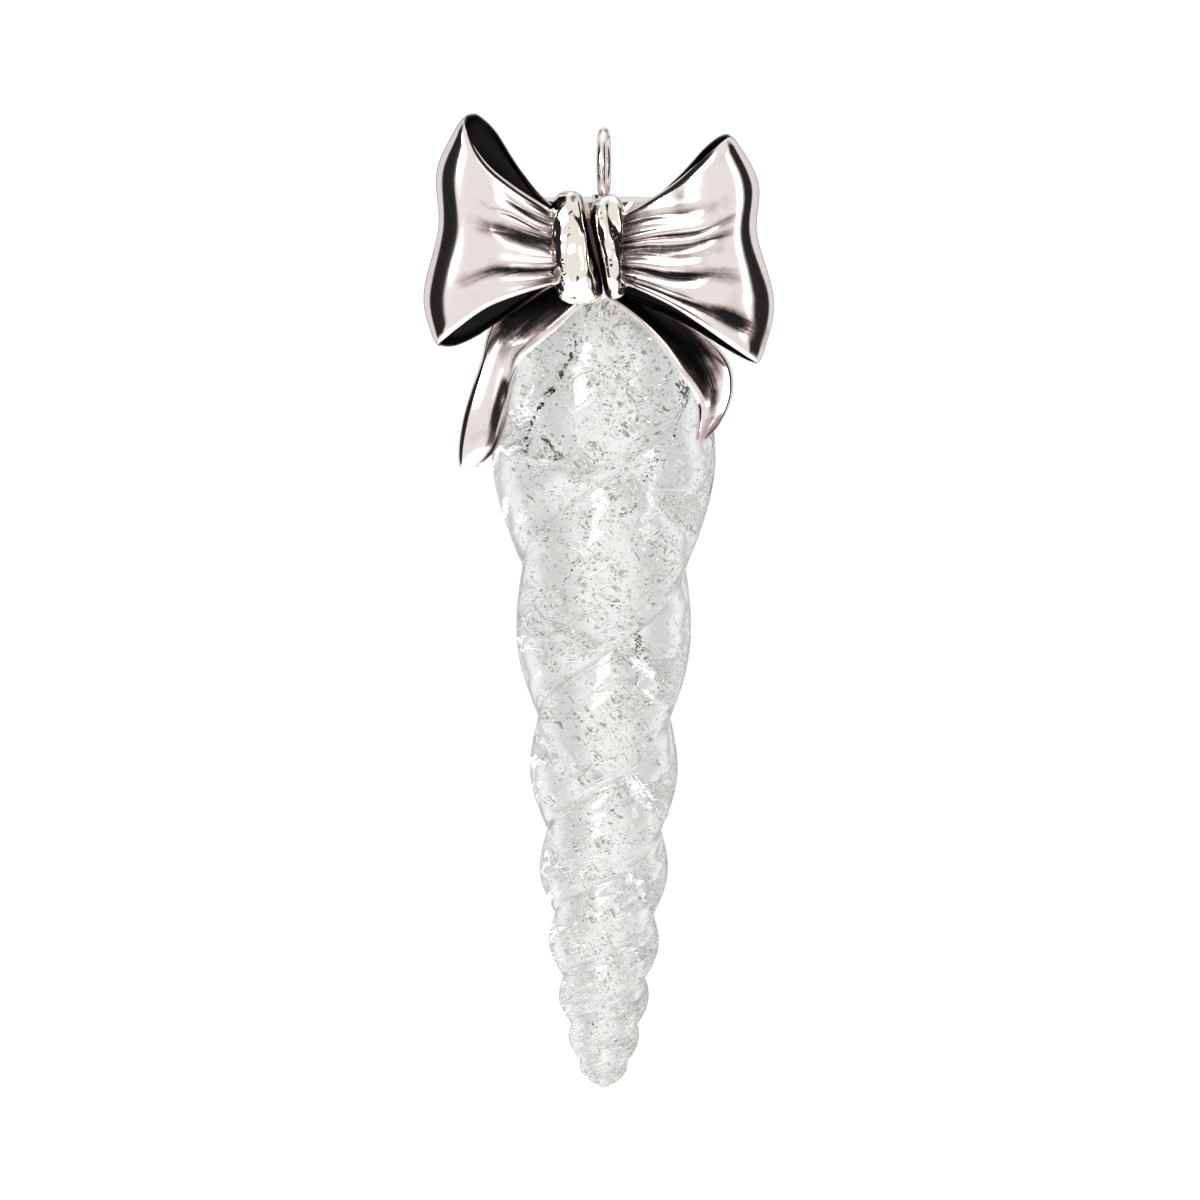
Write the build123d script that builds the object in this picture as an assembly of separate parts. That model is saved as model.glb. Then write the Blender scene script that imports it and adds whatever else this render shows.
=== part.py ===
"""Icicle hanging ornament: a twisted glass drop under a silver cap, a ribbon bow and a hanging ring.

The origin is the inside top of the hanging ring, where a hook or a thread bears. +Z is up, and the
bow faces -Y. Lengths are in millimetres. Each separate piece is written to its own STEP file.
"""

import os
from math import cos, log, pi, radians, sin, sqrt

from build123d import *

# Hanging ring and its swivel
RING_WIRE_R = 0.8
RING_CENTRE_R = 4.75
RING_YAW = -4.7  # degrees that the ring stands off square to the bow
RING_SINK = 0.3  # how deep the ring is let into the post's head
POST_HEAD_R = 1.8
POST_HEAD_H = 0.6
POST_SHANK_R = 0.9
POST_RUNNING_GAP = 0.05  # radial, between the shank and the plate
POST_END_GAP = 0.15  # axial, between the plate and the head or the washer
WASHER_R = 2.4
WASHER_H = 0.6
RIVET_R = 1.35
RIVET_H = 0.5

# Cap
CAP_R = 11.5
CAP_WALL = 0.6
PLATE_TOP = -9.6
PLATE_H = 1.0
CAP_BOTTOM = -22.5

# Glass drop
NECK_R = 9.8
NECK_TOP = -13.5
GLASS_TOP = -22.8
GLASS_TIP = -149.9
TWIST_VANISH = -162.85  # the strands wind about this height as a logarithmic spiral
TWIST_FIRST_PINCH = -67.2
TWIST_HAND = -1.0  # the angle falls as the strands go down, so they rise to the right in front
TWIST_RATIO = 0.752  # each half turn brings the strands this much nearer to the vanishing height
TWIST_STEP = 22.0  # degrees between two sections of the loft
SECTION_GAP = 0.9  # least height between two sections
LOBE_SHARE = 0.165  # how far each strand's centre stands off the axis, as a share of the radius
LOBE_FADE = 16.0  # height over which the lobes grow out of the round shoulder
VALLEY_BLUNT = 0.12  # rounding of the valley between the strands
SECTION_POINTS = 16
GLASS_OUTLINE = [  # height, largest radius over the strands
    (GLASS_TOP, 10.5),
    (-25.0, 13.2),
    (-29.5, 15.6),
    (-36.0, 17.3),
    (-46.0, 17.9),
    (-60.0, 16.4),
    (-77.0, 13.9),
    (-98.5, 11.8),
    (-114.5, 10.25),
    (-127.0, 8.75),
    (-135.0, 7.3),
    (-141.0, 6.0),
    (-145.0, 4.75),
    (-147.5, 3.55),
    (-149.2, 2.1),
    (GLASS_TIP, 0.7),
]

# Bow
SHEET = 0.5
BRACKET_X = (-5.8, 1.0)
BRACKET_Z = (-21.0, -12.0)
BRACKET_FRONT = -13.2
# Knot folds, from top to bottom: height, middle in X, middle in Y, half width, half depth
KNOT_LEFT = [
    (-7.7, -5.2, -15.3, 0.9, 1.3),
    (-8.6, -5.3, -15.4, 1.9, 2.6),
    (-11.0, -5.6, -15.6, 2.35, 3.5),
    (-16.0, -5.0, -15.8, 2.95, 3.9),
    (-21.5, -3.9, -15.8, 3.55, 3.7),
    (-24.0, -3.9, -15.6, 2.9, 3.0),
    (-25.1, -4.2, -15.5, 1.5, 1.5),
]
KNOT_RIGHT = [
    (-8.6, 0.8, -15.3, 0.9, 1.3),
    (-9.4, 0.7, -15.4, 1.8, 2.5),
    (-11.6, 0.4, -15.5, 2.5, 3.2),
    (-16.0, 1.0, -15.7, 2.2, 3.5),
    (-21.5, 1.5, -15.6, 1.6, 3.3),
    (-23.6, 1.6, -15.5, 1.3, 2.6),
    (-24.5, 1.7, -15.4, 0.7, 1.2),
]
# Ribbons, as pairs of points on their two edges. A loop runs from the knot along its front wall,
# round the outer fold and back; its pairs are top edge, bottom edge.
LOOP_LEFT = [
    ((-6.2, -16.2, -11.6), (-6.2, -16.2, -21.8)),
    ((-9.8, -18.0, -9.6), (-9.8, -18.0, -22.3)),
    ((-13.8, -19.8, -6.9), (-14.0, -19.8, -23.5)),
    ((-17.6, -20.9, -3.6), (-18.6, -20.9, -25.6)),
    ((-20.6, -20.4, 1.4), (-23.4, -20.4, -28.9)),
    ((-21.6, -17.4, 3.7), (-26.3, -17.4, -30.4)),
    ((-19.6, -14.2, 3.5), (-24.2, -14.2, -31.2)),
    ((-16.0, -12.7, -0.4), (-19.8, -12.7, -29.8)),
    ((-12.0, -12.4, -6.2), (-13.8, -12.4, -26.2)),
    ((-9.2, -12.6, -9.2), (-9.4, -12.6, -23.0)),
    ((-6.2, -13.4, -11.2), (-6.2, -13.4, -21.9)),
]
LOOP_RIGHT = [
    ((1.4, -16.2, -11.8), (1.4, -16.2, -21.8)),
    ((5.0, -17.8, -10.1), (5.0, -17.8, -22.7)),
    ((9.2, -19.6, -7.5), (9.4, -19.6, -24.5)),
    ((13.4, -20.8, -4.2), (14.6, -20.8, -27.8)),
    ((17.0, -20.4, -1.1), (20.4, -20.4, -31.5)),
    ((19.6, -17.4, 0.5), (24.6, -17.4, -33.2)),
    ((17.9, -14.2, 0.4), (22.4, -14.2, -33.8)),
    ((14.4, -12.7, -2.8), (17.2, -12.7, -31.0)),
    ((10.4, -12.4, -6.9), (11.4, -12.4, -26.2)),
    ((6.0, -12.6, -10.3), (6.2, -12.6, -23.0)),
    ((1.4, -13.4, -11.7), (1.4, -13.4, -21.9)),
]
# A tail runs from the knot to its tip; its pairs are outer edge, inner edge.
TAIL_LEFT = [
    ((-4.6, -12.9, -22.6), (-2.6, -15.3, -24.0)),
    ((-8.6, -11.2, -24.2), (-5.2, -15.2, -26.4)),
    ((-13.6, -9.6, -26.2), (-9.0, -14.4, -29.4)),
    ((-17.4, -9.4, -29.6), (-12.6, -13.0, -31.8)),
    ((-18.9, -10.4, -34.0), (-14.4, -11.8, -34.6)),
    ((-20.4, -11.2, -38.8), (-14.4, -12.0, -39.2)),
    ((-21.8, -11.2, -43.6), (-15.0, -11.6, -43.5)),
    ((-22.3, -10.6, -48.2), (-16.8, -10.8, -47.8)),
    ((-21.7, -10.2, -51.0), (-20.0, -10.3, -50.4)),
]
TAIL_RIGHT = [
    ((1.9, -13.9, -22.2), (0.3, -15.8, -23.6)),
    ((5.4, -13.3, -24.8), (3.4, -15.9, -26.0)),
    ((10.4, -11.4, -27.6), (6.6, -15.6, -28.9)),
    ((15.0, -8.8, -30.1), (9.0, -14.9, -32.0)),
    ((18.4, -8.4, -33.2), (11.6, -14.0, -35.4)),
    ((19.8, -8.2, -37.0), (13.8, -12.6, -38.6)),
    ((19.3, -8.6, -40.9), (14.8, -11.4, -41.4)),
    ((17.6, -9.6, -44.2), (14.6, -11.4, -44.0)),
    ((15.6, -10.6, -46.1), (14.6, -11.2, -45.8)),
]


def tube(outer, inner, low, high):
    """A plain tube about the Z axis."""
    ring = Circle(outer) - Circle(inner)
    return extrude(Pos(0, 0, low) * ring, high - low)


def disc(radius, low, high):
    """A plain round about the Z axis."""
    return extrude(Pos(0, 0, low) * Circle(radius), high - low)


def between(table, height):
    """The radius that a smooth curve through the (height, radius) table has at a height."""
    below = max(i for i, row in enumerate(table[:-1]) if row[0] >= height)
    slopes = []
    for i in (below, below + 1):
        first = table[max(i - 1, 0)]
        last = table[min(i + 1, len(table) - 1)]
        slopes.append((last[1] - first[1]) / (last[0] - first[0]))
    (z0, r0), (z1, r1) = table[below], table[below + 1]
    span = z1 - z0
    t = (height - z0) / span
    start = (2 * t**3 - 3 * t**2 + 1) * r0 + (t**3 - 2 * t**2 + t) * span * slopes[0]
    return start + (3 * t**2 - 2 * t**3) * r1 + (t**3 - t**2) * span * slopes[1]


def twist(height):
    """Angle of the strands' axis at a height, right-handed, 90 degrees at the first pinch."""
    half_turns = log((height - TWIST_VANISH) / (TWIST_FIRST_PINCH - TWIST_VANISH)) / log(TWIST_RATIO)
    return 90.0 + TWIST_HAND * 180.0 * half_turns


def glass_section(height):
    """One section of the two strands: two rounds whose outlines run into each other."""
    radius = between(GLASS_OUTLINE, height)
    grown = min(1.0, (GLASS_TOP - height) / LOBE_FADE)
    offset = radius * LOBE_SHARE * grown
    strand = radius - offset
    turn = radians(twist(height))
    points = []
    for i in range(SECTION_POINTS):
        around = 2 * pi * i / SECTION_POINTS
        reach = offset * sqrt(cos(around) ** 2 + VALLEY_BLUNT**2) / sqrt(1 + VALLEY_BLUNT**2)
        reach += sqrt(strand**2 - (offset * sin(around)) ** 2)
        points.append(Vector(reach * cos(around + turn), reach * sin(around + turn), height))
    return Wire([Edge.make_spline(points + [points[0]])])


def glass_heights():
    """Heights of the sections, TWIST_STEP apart in angle and no closer than SECTION_GAP."""
    share = TWIST_RATIO ** (TWIST_STEP / 180.0)
    heights = [GLASS_TOP]
    while heights[-1] - 2 * SECTION_GAP > GLASS_TIP:
        turned = (heights[-1] - TWIST_VANISH) * share + TWIST_VANISH
        heights.append(min(turned, heights[-1] - SECTION_GAP))
    return heights[:-1] + [GLASS_TIP]


def make_glass():
    """The solid drop, with the round neck that stands in the cap."""
    drop = Solid.make_loft([glass_section(z) for z in glass_heights()])
    neck = disc(NECK_R, GLASS_TOP - 0.2, NECK_TOP)
    return drop + neck


def make_fold(rows):
    """One rounded fold of the knot, lofted through ellipses."""
    rounds = [Pos(x, y, z) * Ellipse(wide, deep) for z, x, y, wide, deep in rows]
    return loft([r.face() for r in rounds])


def make_ribbon(pairs):
    """A strip of sheet between two edges, lofted through thin sections square to its run."""
    middles = [(Vector(*a) + Vector(*b)) * 0.5 for a, b in pairs]
    sections = []
    for i, (a, b) in enumerate(pairs):
        across = Vector(*b) - Vector(*a)
        run = middles[min(i + 1, len(pairs) - 1)] - middles[max(i - 1, 0)]
        run = run - across * (run.dot(across) / across.dot(across))
        plane = Plane(origin=middles[i], x_dir=across, z_dir=run)
        sections.append(plane * Rectangle(across.length, SHEET))
    return loft([s.face() for s in sections])


def largest(shape):
    """The largest solid of a cut shape."""
    return max(shape.solids(), key=lambda s: s.volume)


def make_ring():
    """The wire ring, upright, its inside top at the origin."""
    ring = Torus(RING_CENTRE_R, RING_WIRE_R)
    upright = Rot(0, 90, 0) * ring
    return Pos(0, 0, RING_WIRE_R - RING_CENTRE_R) * Rot(0, 0, RING_YAW) * upright


def make_post(ring):
    """The headed post under the ring, let into its head, riveted over below the washer."""
    head_low = PLATE_TOP + POST_END_GAP
    washer_low = PLATE_TOP - PLATE_H - POST_END_GAP - WASHER_H
    post = disc(POST_HEAD_R, head_low, head_low + POST_HEAD_H)
    post += disc(POST_SHANK_R, washer_low - RIVET_H, head_low)
    post += disc(RIVET_R, washer_low - RIVET_H, washer_low)
    return post - ring


def make_all():
    """Every piece by its name."""
    ring = make_ring()
    post = make_post(ring)
    washer_top = PLATE_TOP - PLATE_H - POST_END_GAP
    washer = tube(WASHER_R, POST_SHANK_R, washer_top - WASHER_H, washer_top)
    plate_low = PLATE_TOP - PLATE_H
    plate = tube(CAP_R, POST_SHANK_R + POST_RUNNING_GAP, plate_low, PLATE_TOP)
    band = tube(CAP_R, CAP_R - CAP_WALL, CAP_BOTTOM, plate_low)
    cement = tube(CAP_R - CAP_WALL, NECK_R, CAP_BOTTOM, NECK_TOP)

    low, high = BRACKET_Z
    left, right = BRACKET_X
    blank = Pos((left + right) / 2, BRACKET_FRONT / 2, (low + high) / 2) * Box(
        right - left, -BRACKET_FRONT, high - low
    )
    bracket = largest(blank - disc(CAP_R, CAP_BOTTOM, plate_low))
    fold_left = make_fold(KNOT_LEFT) - bracket
    fold_right = make_fold(KNOT_RIGHT) - bracket - fold_left
    knot = fold_left + fold_right + bracket
    return {
        "hanging_ring": ring,
        "swivel_post": post,
        "swivel_washer": washer,
        "cap_top_plate": plate,
        "cap_band": band,
        "neck_cement": cement,
        "glass_icicle": make_glass(),
        "knot_bracket": bracket,
        "knot_fold_left": largest(fold_left),
        "knot_fold_right": largest(fold_right),
        "bow_loop_left": largest(make_ribbon(LOOP_LEFT) - knot),
        "bow_loop_right": largest(make_ribbon(LOOP_RIGHT) - knot),
        "bow_tail_left": largest(make_ribbon(TAIL_LEFT) - knot),
        "bow_tail_right": largest(make_ribbon(TAIL_RIGHT) - knot),
    }


if __name__ == "__main__":
    os.makedirs("parts", exist_ok=True)
    for name, shape in make_all().items():
        export_step(shape, f"parts/{name}.step")
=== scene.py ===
"""Looks of a hanging glass icicle: two twisted strands with silver leaf inside, a cap and a ribbon bow.

Everything is in metres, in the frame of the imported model, with the bow facing -Y and +Z up.
"""

import math
import random

import bmesh
import bpy
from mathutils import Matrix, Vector, noise


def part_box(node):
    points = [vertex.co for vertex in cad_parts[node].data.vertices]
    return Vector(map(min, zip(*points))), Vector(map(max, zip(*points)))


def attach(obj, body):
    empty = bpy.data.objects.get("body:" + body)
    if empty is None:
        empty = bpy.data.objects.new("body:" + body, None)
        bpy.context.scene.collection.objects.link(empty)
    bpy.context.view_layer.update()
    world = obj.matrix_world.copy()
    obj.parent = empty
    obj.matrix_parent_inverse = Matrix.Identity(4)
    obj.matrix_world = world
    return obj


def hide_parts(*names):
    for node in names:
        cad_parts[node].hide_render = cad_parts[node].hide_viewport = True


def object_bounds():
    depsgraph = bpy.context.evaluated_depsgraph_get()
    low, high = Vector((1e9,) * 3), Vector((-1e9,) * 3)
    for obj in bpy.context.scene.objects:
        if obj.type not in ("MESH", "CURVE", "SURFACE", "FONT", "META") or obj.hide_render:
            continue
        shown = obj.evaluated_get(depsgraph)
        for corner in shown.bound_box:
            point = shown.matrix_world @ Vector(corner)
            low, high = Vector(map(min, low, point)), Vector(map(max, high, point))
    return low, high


bl_info = {
    "name": "Glass icicle ornament",
    "version": (1, 0, 0),
    "blender": (4, 5, 0),
    "location": "3D View > Sidebar > Ornament",
    "description": "Builds a glass icicle with silver leaf, a silver cap and a ribbon bow",
    "category": "Add Mesh",
}

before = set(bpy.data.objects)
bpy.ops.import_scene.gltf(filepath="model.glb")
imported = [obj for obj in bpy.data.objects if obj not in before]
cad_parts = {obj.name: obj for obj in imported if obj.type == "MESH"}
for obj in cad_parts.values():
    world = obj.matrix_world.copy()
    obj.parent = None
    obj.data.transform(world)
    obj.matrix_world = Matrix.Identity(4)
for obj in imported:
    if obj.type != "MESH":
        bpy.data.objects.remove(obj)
CAD_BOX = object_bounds()
MM = 0.001
BODY = "ornament"
LIGHT_BOUNCES = 48  # light runs a long way to and fro inside the twisted glass
GLASS_LOW, GLASS_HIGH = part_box("glass_icicle")

# ---------------------------------------------------------------- shader maths


class Reading:
    """One output of a node tree. Arithmetic on it adds Math nodes."""

    def __init__(self, tree, socket):
        self.tree = tree
        self.socket = socket

    def maths(self, operation, *values, clamp=False):
        settings = {"operation": operation, "use_clamp": clamp}
        return self.tree.node("ShaderNodeMath", settings, dict(enumerate(values)))

    def __add__(self, other):
        return self.maths("ADD", self, other)

    def __radd__(self, other):
        return self.maths("ADD", other, self)

    def __sub__(self, other):
        return self.maths("SUBTRACT", self, other)

    def __rsub__(self, other):
        return self.maths("SUBTRACT", other, self)

    def __mul__(self, other):
        return self.maths("MULTIPLY", self, other)

    def __rmul__(self, other):
        return self.maths("MULTIPLY", other, self)

    def __truediv__(self, other):
        return self.maths("DIVIDE", self, other)

    def __pow__(self, other):
        return self.maths("POWER", self, other)

    def clamped(self):
        return self.maths("ADD", self, 0.0, clamp=True)

    def step(self, low, high):
        """0 below low, 1 above high, smooth between."""
        settings = {"interpolation_type": "SMOOTHSTEP"}
        inputs = {"Value": self, "From Min": low, "From Max": high}
        return self.tree.node("ShaderNodeMapRange", settings, inputs)


class Tree:
    """The node tree of a finish, or of the room's light."""

    def __init__(self, owner):
        owner.use_nodes = True
        self.owner = owner
        self.nodes = owner.node_tree.nodes
        self.links = owner.node_tree.links
        self.nodes.clear()

    def node(self, kind, settings=None, inputs=None, output=0):
        """Adds any node: its settings first, then the values or links of its sockets."""
        made = self.nodes.new(kind)
        for key, value in (settings or {}).items():
            if key == "stops":
                self.set_stops(made.color_ramp, value)
            else:
                setattr(made, key, value)
        for key, value in (inputs or {}).items():
            if isinstance(value, Reading):
                self.links.new(value.socket, made.inputs[key])
            else:
                made.inputs[key].default_value = value
        return None if output is None else Reading(self, made.outputs[output])

    def set_stops(self, ramp, stops):
        for place, _ in stops[1:-1]:
            ramp.elements.new(place)
        for element, (place, colour) in zip(ramp.elements, stops):
            element.position = place
            element.color = colour

    def place(self, scale=(1, 1, 1), turn=(0, 0, 0)):
        """Object coordinates, stretched and turned."""
        where = self.node("ShaderNodeTexCoord", output=3)
        inputs = {"Vector": where, "Scale": scale, "Rotation": turn}
        return self.node("ShaderNodeMapping", {}, inputs)

    def noise(self, where, scale, detail=2.0, rough=0.5):
        inputs = {"Vector": where, "Scale": scale, "Detail": detail, "Roughness": rough}
        return self.node("ShaderNodeTexNoise", {"noise_dimensions": "3D"}, inputs)

    def mix(self, share, first, second):
        """A colour between two colours."""
        settings = {"data_type": "RGBA"}
        inputs = {0: share, 6: first, 7: second}
        return self.node("ShaderNodeMix", settings, inputs, output=2)

    def bump(self, height, strength, distance):
        inputs = {"Height": height, "Strength": strength, "Distance": distance}
        return self.node("ShaderNodeBump", {}, inputs)

    def attribute(self, name):
        return self.node("ShaderNodeAttribute", {"attribute_name": name}, output=2)

    def surface(self, **sockets):
        """Ends the tree in one Principled surface; socket names have _ for a space."""
        inputs = {key.replace("_", " "): value for key, value in sockets.items()}
        shader = self.node("ShaderNodeBsdfPrincipled", {}, inputs)
        self.node("ShaderNodeOutputMaterial", {}, {0: shader}, output=None)
        return self.owner


# ---------------------------------------------------------------- modelling by hand


def started(name, add, **how):
    """Adds one primitive with nothing else selected, and opens it for editing."""
    bpy.ops.object.select_all(action="DESELECT")
    add(**how)
    piece = bpy.context.object
    piece.name = name
    piece.data.name = name
    bpy.ops.object.mode_set(mode="EDIT")
    bpy.ops.mesh.select_mode(type="VERT")
    return piece


def grow(lift, turn=0.0, scale=(1, 1, 1), centre=(0, 0, 0)):
    """Extrudes the selected ring by lift, then turns (right-handed) and scales it about centre."""
    bpy.ops.mesh.extrude_region_move(TRANSFORM_OT_translate={"value": lift})
    if turn:
        bpy.ops.transform.rotate(value=-turn, orient_axis="Z", center_override=centre)
    if tuple(scale) != (1, 1, 1):
        bpy.ops.transform.resize(value=scale, center_override=centre)


def picked(piece, wanted):
    """Selects the vertices whose place is wanted, in edit mode."""
    bpy.ops.mesh.select_all(action="DESELECT")
    mesh = bmesh.from_edit_mesh(piece.data)
    for vertex in mesh.verts:
        vertex.select = wanted(vertex.co)
    mesh.select_flush_mode()
    bmesh.update_edit_mesh(piece.data)


def closed(piece):
    """Merges doubles, points the faces outwards and leaves edit mode."""
    bpy.ops.mesh.select_all(action="SELECT")
    bpy.ops.mesh.remove_doubles(threshold=0.002 * MM)
    bpy.ops.mesh.normals_make_consistent(inside=False)
    bpy.ops.object.mode_set(mode="OBJECT")


def modified(piece, kind, **settings):
    """Puts a modifier on a piece and applies it."""
    bpy.context.view_layer.objects.active = piece
    modifier = piece.modifiers.new(kind.title(), kind)
    for key, value in settings.items():
        setattr(modifier, key, value)
    bpy.ops.object.modifier_apply(modifier=modifier.name)


def smoothed(piece, angle=180.0):
    """Shades a piece smooth, except at edges sharper than the angle in degrees."""
    bpy.ops.object.select_all(action="DESELECT")
    piece.select_set(True)
    bpy.context.view_layer.objects.active = piece
    bpy.ops.object.shade_smooth_by_angle(angle=math.radians(angle))


def placed(piece, finish, slot, *nodes):
    """Gives a finished piece its material and its body, and hides the nodes it stands for. The slot is not
    used.
    """
    piece.data.materials.clear()
    piece.data.materials.append(finish)
    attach(piece, BODY)
    if nodes:
        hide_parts(*nodes)


def curve_through(table, at):
    """A smooth value between the rows of a table of (place, value), places rising."""
    last = len(table) - 1
    i = max([0] + [k for k in range(last) if table[k][0] <= at])
    t = min(max((at - table[i][0]) / (table[i + 1][0] - table[i][0]), 0.0), 1.0)
    four = [table[min(max(k, 0), last)][1] for k in (i - 1, i, i + 1, i + 2)]
    return spline(four, t)


def spline(four, t):
    """Catmull-Rom between the middle two of four values or vectors."""
    a, b, c, d = four
    return 0.5 * (
        2 * b + (c - a) * t + (2 * a - 5 * b + 4 * c - d) * t**2 + (3 * b - a - 3 * c + d) * t**3
    )


# ---------------------------------------------------------------- the glass

TIP = GLASS_LOW.z / MM
VANISH = TIP - 12.95  # the strands wind about this height as a logarithmic spiral
SHOULDER = -22.8
FIRST_PINCH = -67.2
HALF_TURN_RATIO = 0.752
NECK_R = 9.6
NECK_TOP = GLASS_HIGH.z / MM
LOBE_SHARE = 0.165
LOBE_FADE = 16.0  # height over which the lobes grow out of the round shoulder
VALLEY_BLUNT = 0.04  # rounds the valley between the strands, as a share of a lobe
TIP_ROUND = 0.12
NECK_LEDGE = 0.9  # height over which the shoulder steps in to the neck
OUTLINE = [  # height, largest radius over the strands
    (TIP, 0.7),
    (-149.2, 2.1),
    (-147.5, 3.55),
    (-145.0, 4.75),
    (-141.0, 6.0),
    (-135.0, 7.3),
    (-127.0, 8.75),
    (-114.5, 10.25),
    (-98.5, 11.8),
    (-77.0, 13.9),
    (-60.0, 16.4),
    (-46.0, 17.9),
    (-36.0, 17.3),
    (-29.5, 15.6),
    (-25.0, 13.2),
    (SHOULDER, 10.5),
]


def glass_radius(height):
    return curve_through(OUTLINE, height)


def twist(height):
    """Angle of the line through the two strands' centres at a height."""
    half_turns = math.log((height - VANISH) / (FIRST_PINCH - VANISH)) / math.log(HALF_TURN_RATIO)
    return math.radians(90.0 - 180.0 * half_turns)


def strand_offset(height):
    """How far each strand stands off the axis, as a share of the radius."""
    return LOBE_SHARE * min(1.0, (SHOULDER - height) / LOBE_FADE)


def lobed(around, share):
    """Reach of the two strands' outline, as a share of the radius, at an angle from their line."""
    blunt = math.sqrt(math.cos(around) ** 2 + VALLEY_BLUNT**2) / math.sqrt(1 + VALLEY_BLUNT**2)
    return share * blunt + math.sqrt((1 - share) ** 2 - (share * math.sin(around)) ** 2)


def twist_heights(step):
    """Heights from the shoulder to the tip, one turn step of the strands apart."""
    ratio = HALF_TURN_RATIO ** (step / 180.0)
    heights = [SHOULDER]
    while heights[-1] > TIP:
        heights.append(max((heights[-1] - VANISH) * ratio + VANISH, TIP))
    return heights


def make_glass(around, step):
    """The solid drop: a round, drawn down ring by ring, with two strands that wind as they go."""
    start = Vector((0, 0, SHOULDER)) * MM
    how = {"vertices": around, "radius": glass_radius(SHOULDER) * MM, "location": start}
    piece = started("glass_icicle_clear", bpy.ops.mesh.primitive_circle_add, **how)
    bpy.ops.object.mode_set(mode="OBJECT")
    bpy.ops.object.transform_apply()
    bpy.ops.object.mode_set(mode="EDIT")
    bpy.ops.mesh.select_all(action="SELECT")
    heights = twist_heights(step)
    for above, below in zip(heights, heights[1:]):
        turn = twist(below) - twist(above)
        grow((0, 0, (below - above) * MM), turn, (1, 1, 1), (0, 0, below * MM))
        draw_strands(piece, below)
    grow((0, 0, -TIP_ROUND * MM), 0, (0.45, 0.45, 1), (0, 0, TIP * MM))
    bpy.ops.mesh.merge(type="CENTER")
    picked(piece, lambda co: abs(co.z - start.z) < 0.01 * MM)
    shrink = NECK_R / glass_radius(SHOULDER)
    grow((0, 0, NECK_LEDGE * MM), 0, (shrink, shrink, 1), (0, 0, start.z))
    grow((0, 0, (NECK_TOP - SHOULDER - NECK_LEDGE) * MM))
    grow((0, 0, 0), 0, (0.5, 0.5, 1), (0, 0, NECK_TOP * MM))
    bpy.ops.mesh.merge(type="CENTER")
    closed(piece)
    smoothed(piece, 60.0)
    mark_flow(piece)
    return piece


def mark_flow(piece):
    """Gives each point its place round the strands and along them, for lines that wind with them."""
    flow = piece.data.attributes.new("flow", "FLOAT_VECTOR", "POINT")
    for vertex, mark in zip(piece.data.vertices, flow.data):
        line = twist(min(vertex.co.z / MM, SHOULDER))
        angle = math.atan2(vertex.co.y, vertex.co.x) - line
        mark.vector = (math.cos(angle), math.sin(angle), -line / math.pi)


def draw_strands(piece, height):
    """Moves the selected ring's points in and out to the strands' outline at a height."""
    radius = glass_radius(height) * MM
    share = strand_offset(height)
    line = twist(height)
    mesh = bmesh.from_edit_mesh(piece.data)
    for vertex in mesh.verts:
        if vertex.select:
            angle = math.atan2(vertex.co.y, vertex.co.x)
            reach = radius * lobed(angle - line, share)
            vertex.co.x = reach * math.cos(angle)
            vertex.co.y = reach * math.sin(angle)
    bmesh.update_edit_mesh(piece.data)


# ---------------------------------------------------------------- leaf in the glass


def scrap(mesh, where, normal, size, rand):
    """One torn scrap of leaf: a crumpled fan of a few faces."""
    side = normal.orthogonal().normalized()
    other = normal.cross(side)
    corners = rand.choice((4, 5, 5, 6))
    spin = rand.uniform(0, math.tau)
    middle = mesh.verts.new(where + normal * size * rand.uniform(-0.15, 0.15))
    rim = []
    for k in range(corners):
        angle = spin + math.tau * k / corners
        reach = size * rand.uniform(0.35, 1.0)
        lift = normal * size * rand.uniform(-0.25, 0.25)
        arm = (side * math.cos(angle) + other * math.sin(angle)) * reach
        rim.append(mesh.verts.new(where + arm + lift))
    for k in range(corners):
        mesh.faces.new((middle, rim[k], rim[(k + 1) % corners]))


def core_point(height, strand, around, depth):
    """A place on the leaf-covered core of one strand, and the way outwards there."""
    radius = glass_radius(height)
    line = twist(height) + math.pi * strand
    offset = radius * strand_offset(height)
    reach = (radius - offset) * depth
    outward = Vector((math.cos(around), math.sin(around), 0))
    centre = Vector((math.cos(line), math.sin(line), 0)) * offset
    return (centre + outward * reach + Vector((0, 0, height))) * MM, outward


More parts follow.
